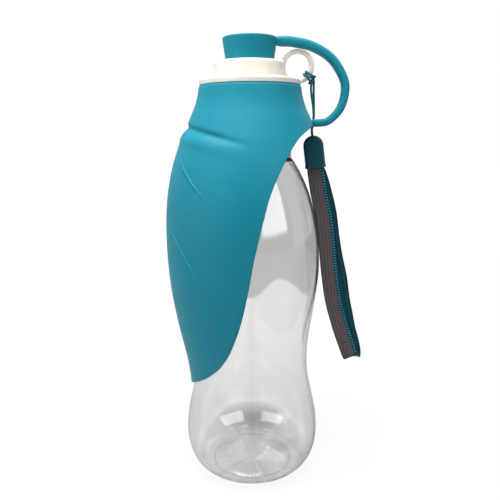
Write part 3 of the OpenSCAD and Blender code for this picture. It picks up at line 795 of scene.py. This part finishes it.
# The ribbon's middle line from the end piece down to the fold and back up, with its lean in degrees.
ribbon_runs = [
    (37.7, 4.8, 171, 8), (39.3, 4.4, 161.5, 10), (42, 4.2, 149.5, 10), (43.8, 4, 137.5, 8), (45, 4, 125, 7),
    (46.5, 4, 112.5, 8), (48.6, 4, 99.5, 12), (51.1, 4, 90, 15), (54, 4.2, 80.5, 17), (57.2, 4.3, 71.5, 17),
    (59.1, 4.4, 66.3, 17), (60, 4.7, 64.2, 17), (60.6, 5.3, 63.2, 17), (61.1, 6, 62.9, 17), (61.5, 6.7, 63.2, 17),
    (61.8, 7.3, 64.2, 17), (61.7, 7.5, 66.3, 17), (60.6, 7.6, 71.5, 17), (58.2, 7.6, 80, 16), (56.2, 7.8, 89.5, 14),
    (54.2, 8, 99, 11), (52.3, 8.1, 111.5, 9), (49.3, 8, 124.5, 9), (47, 7.8, 137, 9), (45.2, 7.4, 149.5, 9),
    (42.2, 6.8, 161.5, 9), (39.3, 6.3, 171, 8),
]


def ribbon_line():
    def end(side, drops):
        return [(*in_end(0, -side * 0.55, z), 7) for z in drops]

    return end(1, (-11.2, -15, -18.4)) + ribbon_runs + end(-1, (-18.4, -15, -11.2))


def make_ribbon():
    """The wrist ribbon: a flat woven band with fine ribs and rounded selvedges."""
    line = smooth(ribbon_line(), 4)
    path = [Vector(p[:3]) for p in line]
    reach = path_lengths(path)
    half, thick = 4.9, 0.5
    steps = 28
    rings = []
    for (x, y, z, lean), point, way in zip(line, path, along(path)):
        side = Vector((cos(radians(lean)), 0, sin(radians(lean))))
        side = (side - way * side.dot(way)).normalized()
        up = way.cross(side)
        ring = []
        for face in (1, -1):
            for k in range(steps + 1):
                s = face * (1 - 2 * k / steps)
                ridge = thick - 0.09 + 0.05 * cos(pi * s * 7) - 0.28 * max(abs(s) - 0.9, 0) / 0.1
                ring.append(point + side * s * half + up * ridge * face)
        rings.append(ring)
    count = 2 * (steps + 1)
    bm = skinned(rings, uv=lambda i, k: ((k % (steps + 1)) / steps, reach[i]), second=lambda k: k >= steps)
    piece = piece_from("wrist_ribbon", bm, ribbon_brown, "lanyard", ["wrist_webbing"], crisp=70)
    piece.data.materials.append(ribbon_teal)


end_piece = make_end_piece()
make_end_lip()
make_ribbon()
knot = make_knot()
make_cord()


# ---- floor, background and lights ----
def seen_as(tree, lit, for_eye, for_glass, eye_share=1.0, glass_share=1.0):
    """One surface for the light, one for the camera and one for reflections and what clear plastic shows."""
    rays = node(tree, "ShaderNodeLightPath")
    glass = math_node(tree, "MAXIMUM", rays.outputs["Is Glossy Ray"], rays.outputs["Is Transmission Ray"])
    shader = lit
    for share, seen in (
        (math_node(tree, "MULTIPLY", glass, glass_share), for_glass),
        (math_node(tree, "MULTIPLY", rays.outputs["Is Camera Ray"], eye_share), for_eye),
    ):
        both = node(tree, "ShaderNodeMixShader")
        tree.links.new(share, both.inputs["Fac"])
        tree.links.new(shader, both.inputs[1])
        tree.links.new(seen.outputs[0], both.inputs[2])
        shader = both.outputs[0]
    return shader


backdrop_grey = 0.62
# The studio's panels as turns from straight behind the bottle, in degrees: middle, half width, light added.
# The windows' turn is from straight in front of it: middle and half width.
back_panel, front_panel, side_panel = (20, 11, -0.4), (150, 50, -0.35), (80, 30, 0.4)
window_turn, window_rise, window_light = (42, 24), (25, 19), 5.0


def make_world():
    """Light that grows towards the zenith, white for the camera, and for the clear plastic a grey studio: a
    dark panel on each side of the back, bright sides, and a dark front with two bright windows in it."""
    world = bpy.data.worlds.new("studio")
    scene.world = world
    world.use_nodes = True
    tree = world.node_tree
    tree.nodes.clear()
    way = node(tree, "ShaderNodeTexCoord")
    split = node(tree, "ShaderNodeSeparateXYZ")
    tree.links.new(way.outputs["Generated"], split.inputs[0])
    x, y, z = (split.outputs[k] for k in "XYZ")
    light = node(tree, "ShaderNodeBackground", Color=(0.92, 0.96, 1, 1))
    height = math_node(tree, "MAXIMUM", z, 0.0)
    tree.links.new(math_node(tree, "MULTIPLY_ADD", height, 0.25, 0.12), light.inputs["Strength"])
    white = node(tree, "ShaderNodeBackground", Color=(1, 1, 1, 1), Strength=1.0)
    studio = node(tree, "ShaderNodeBackground", Color=(1, 1, 1, 1))

    def within(angle, middle, half):
        """1 where the angle is less than half from the middle, soft at the sides; both in degrees."""
        off = math_node(tree, "ABSOLUTE", math_node(tree, "SUBTRACT", angle, radians(middle)))
        return math_node(tree, "MULTIPLY", math_node(tree, "SUBTRACT", radians(half), off), 20.0, clamp=True)

    turn = math_node(tree, "ARCTAN2", math_node(tree, "ABSOLUTE", x), y)
    rise = math_node(tree, "ARCSINE", z)
    facing = math_node(tree, "SUBTRACT", pi, turn)
    panes = math_node(tree, "MULTIPLY", within(facing, *window_turn), within(rise, *window_rise))
    shade = backdrop_grey
    for middle, half, added in (back_panel, front_panel, side_panel):
        shade = math_node(tree, "MULTIPLY_ADD", within(turn, middle, half), added, shade)
    tree.links.new(math_node(tree, "MULTIPLY_ADD", panes, window_light, shade), studio.inputs["Strength"])
    out = node(tree, "ShaderNodeOutputWorld")
    tree.links.new(seen_as(tree, light.outputs[0], white, studio), out.inputs["Surface"])


# The table as the clear plastic shows it, in metres from the bottle's axis and in light. The heel ring lies
# where (x * halo_x, y * halo_y + halo_shift) is 1 long.
# The last of these darkens the table close under the bottle: a painted shadow.
table_light, table_end, near_shadow = 0.98, 0.385, -0.27
# The spot is painted shade: a dark blob on the table behind the foot.
spot_at, spot_shade = 0.047, -0.33
# The line under the foot's front is a painted contact shadow.
contact_shadow_r, contact_shadow_dark = 0.0231, -0.2
# The heel ring is a painted highlight, with painted shade inside it.
halo_x, halo_y, halo_shift, halo_light, halo_inside_shade = 28.2, 16.4, -0.246, 0.1, -0.07
# The streaks are painted light and shade.
streak_contrast = 0.55
# The outline is painted shade on the table beside the bottle, which darkens the bottle's edges.
outline_r, outline_wider, outline_shade = 0.0285, 0.011, 0.8


def make_floor():
    """A pale table, white for the camera. Through the clear plastic it carries painted shade and light: it is darker
    close to the bottle and beside it, has a dark spot, a bright ring and outward streaks behind the foot, and a
    contact shadow under the foot's front. It ends in a wavy line some way back."""
    bm = bmesh.new()
    bmesh.ops.create_circle(bm, cap_ends=True, cap_tris=True, segments=96, radius=3)
    mesh = bpy.data.meshes.new("floor")
    bm.to_mesh(mesh)
    bm.free()
    floor = bpy.data.objects.new("floor", mesh)
    floor.location.z = -0.0002
    scene.collection.objects.link(floor)
    material, tree, bsdf = fresh_material("pale floor")
    bsdf.inputs["Base Color"].default_value = (0.6, 0.6, 0.6, 1)
    bsdf.inputs["Roughness"].default_value = 0.7
    white = node(tree, "ShaderNodeEmission", Color=(1, 1, 1, 1), Strength=1.06)
    table = node(tree, "ShaderNodeEmission", Color=(1, 1, 1, 1))
    coords = node(tree, "ShaderNodeTexCoord")
    split = node(tree, "ShaderNodeSeparateXYZ")
    tree.links.new(coords.outputs["Object"], split.inputs[0])
    x, y = split.outputs["X"], split.outputs["Y"]

    def calc(operation, *values, clamp=False):
        return math_node(tree, operation, *values, clamp=clamp)

    def bell(value):
        """1 where the value is 0, falling off on both sides of it."""
        return calc("EXPONENT", calc("MULTIPLY", calc("MULTIPLY", value, value), -1.0))

    def length(a, b):
        return calc("POWER", calc("MULTIPLY_ADD", a, a, calc("MULTIPLY", b, b)), 0.5)

    edge = calc("MULTIPLY_ADD", calc("COSINE", calc("MULTIPLY_ADD", x, 70.0, -3.1)), 0.045, table_end)
    on_table = calc("MULTIPLY", calc("SUBTRACT", edge, y), 150.0, clamp=True)
    # A painted shadow of the bottle on the table close under it.
    under = calc("EXPONENT", calc("MULTIPLY", calc("MULTIPLY", y, y), -70.0))
    level = calc("MULTIPLY_ADD", under, near_shadow, table_light - backdrop_grey)
    level = calc("MULTIPLY_ADD", on_table, level, backdrop_grey)

    # A dark spot behind the foot: painted shade.
    across = calc("MULTIPLY", calc("MULTIPLY", x, x), -3800.0)
    deep = calc("POWER", calc("SUBTRACT", y, spot_at), 2.0)
    spot = calc("EXPONENT", calc("MULTIPLY_ADD", deep, -3300.0, across))
    level = calc("MULTIPLY_ADD", spot, spot_shade, level)

    # The heel's bright ring with a darker inside, crossed by streaks that run out from the middle: a painted
    # highlight with painted shade inside it, and painted light and shade in the streaks.
    wide = calc("POWER", calc("ABSOLUTE", calc("MULTIPLY", x, halo_x)), 2.0)
    long = calc("POWER", calc("MULTIPLY_ADD", y, halo_y, halo_shift), 2.0)
    ring = calc("SUBTRACT", calc("POWER", calc("ADD", wide, long), 0.5), 1.0)
    behind = calc("MULTIPLY", y, 60.0, clamp=True)
    inside = calc("MULTIPLY", calc("MULTIPLY", ring, -7.0, clamp=True), behind)
    level = calc("MULTIPLY_ADD", inside, halo_inside_shade, level)
    glow = calc("MULTIPLY", bell(calc("MULTIPLY", ring, 13.0)), behind)
    level = calc("MULTIPLY_ADD", glow, halo_light, level)

    # Streaks of painted light and shade that run out from the middle.
    outwards = node(tree, "ShaderNodeVectorMath", operation="NORMALIZE")
    streaks = node(tree, "ShaderNodeTexNoise", Scale=5.0, Detail=2.5, Roughness=0.6)
    tree.links.new(coords.outputs["Object"], outwards.inputs[0])
    tree.links.new(outwards.outputs[0], streaks.inputs["Vector"])
    near = calc("EXPONENT", calc("MULTIPLY", calc("ADD", wide, long), -0.55))
    near = calc("MULTIPLY", near, calc("SUBTRACT", streaks.outputs["Fac"], 0.5))
    level = calc("MULTIPLY_ADD", near, streak_contrast, level)

    front, back = calc("MINIMUM", y, 0.0), calc("MAXIMUM", y, 0.0)
    out = length(x, front)
    # A painted contact shadow along the line under the foot's front.
    foot = bell(calc("MULTIPLY", calc("SUBTRACT", out, contact_shadow_r), 1700.0))
    foot = calc("MULTIPLY", foot, calc("LESS_THAN", y, 0.002))
    level = calc("MULTIPLY_ADD", foot, contact_shadow_dark, level)

    # Painted shade beside the bottle, which darkens its outline: darkest in front of it, lighter behind and to the
    # sides, and lightest on the left.
    rear = calc("MULTIPLY", back, 50.0, clamp=True)
    rim = calc("MULTIPLY_ADD", back, 0.125, calc("MULTIPLY_ADD", rear, outline_wider, outline_r))
    beside = calc("MULTIPLY", calc("SUBTRACT", out, rim), 130.0, clamp=True)
    left = calc("LESS_THAN", x, 0.0)
    sideways = calc("MULTIPLY_ADD", calc("ABSOLUTE", x), 40.0, -0.3, clamp=True)
    lighter = calc("MULTIPLY", calc("MAXIMUM", rear, sideways), calc("MULTIPLY_ADD", left, 0.25, 0.45))
    darker = calc("MULTIPLY", beside, calc("SUBTRACT", lighter, outline_shade))
    level = calc("MULTIPLY", level, calc("ADD", darker, 1.0))
    tree.links.new(level, table.inputs["Strength"])
    # The lit floor, with the shadow, shows through the white by 0.14 near the bottle and not at all far off.
    far = calc("MULTIPLY", calc("SUBTRACT", length(x, y), 0.25), 1.5, clamp=True)
    eye = calc("MULTIPLY_ADD", far, 0.14, 0.86)
    out = next(n for n in tree.nodes if n.type == "OUTPUT_MATERIAL")
    tree.links.new(seen_as(tree, bsdf.outputs[0], white, table, eye, 0.94), out.inputs["Surface"])
    mesh.materials.append(material)


def soft_box(name, place, aim, size, watts):
    lamp = bpy.data.lights.new(name, "AREA")
    lamp.shape = "RECTANGLE"
    lamp.size, lamp.size_y = size
    lamp.energy = watts
    box = bpy.data.objects.new(name, lamp)
    box.location = place
    box.rotation_euler = (Vector(aim) - Vector(place)).to_track_quat("-Z", "Y").to_euler()
    scene.collection.objects.link(box)


make_world()
make_floor()
soft_box("window", (0.367, -0.407, 0.394), (0, 0, 0.15), (0.55, 0.42), 0.35)
soft_box("overhead", (-0.07, -0.09, 0.62), (0, 0, 0.15), (0.45, 0.35), 4.1)
soft_box("left", (-0.75, -0.35, 0.2), (0, 0, 0.1), (0.4, 0.5), 1.4)
soft_box("behind", (0.3, 0.6, 0.6), (0, 0, 0.2), (0.5, 0.4), 0.9)

scene.view_settings.view_transform = "Standard"
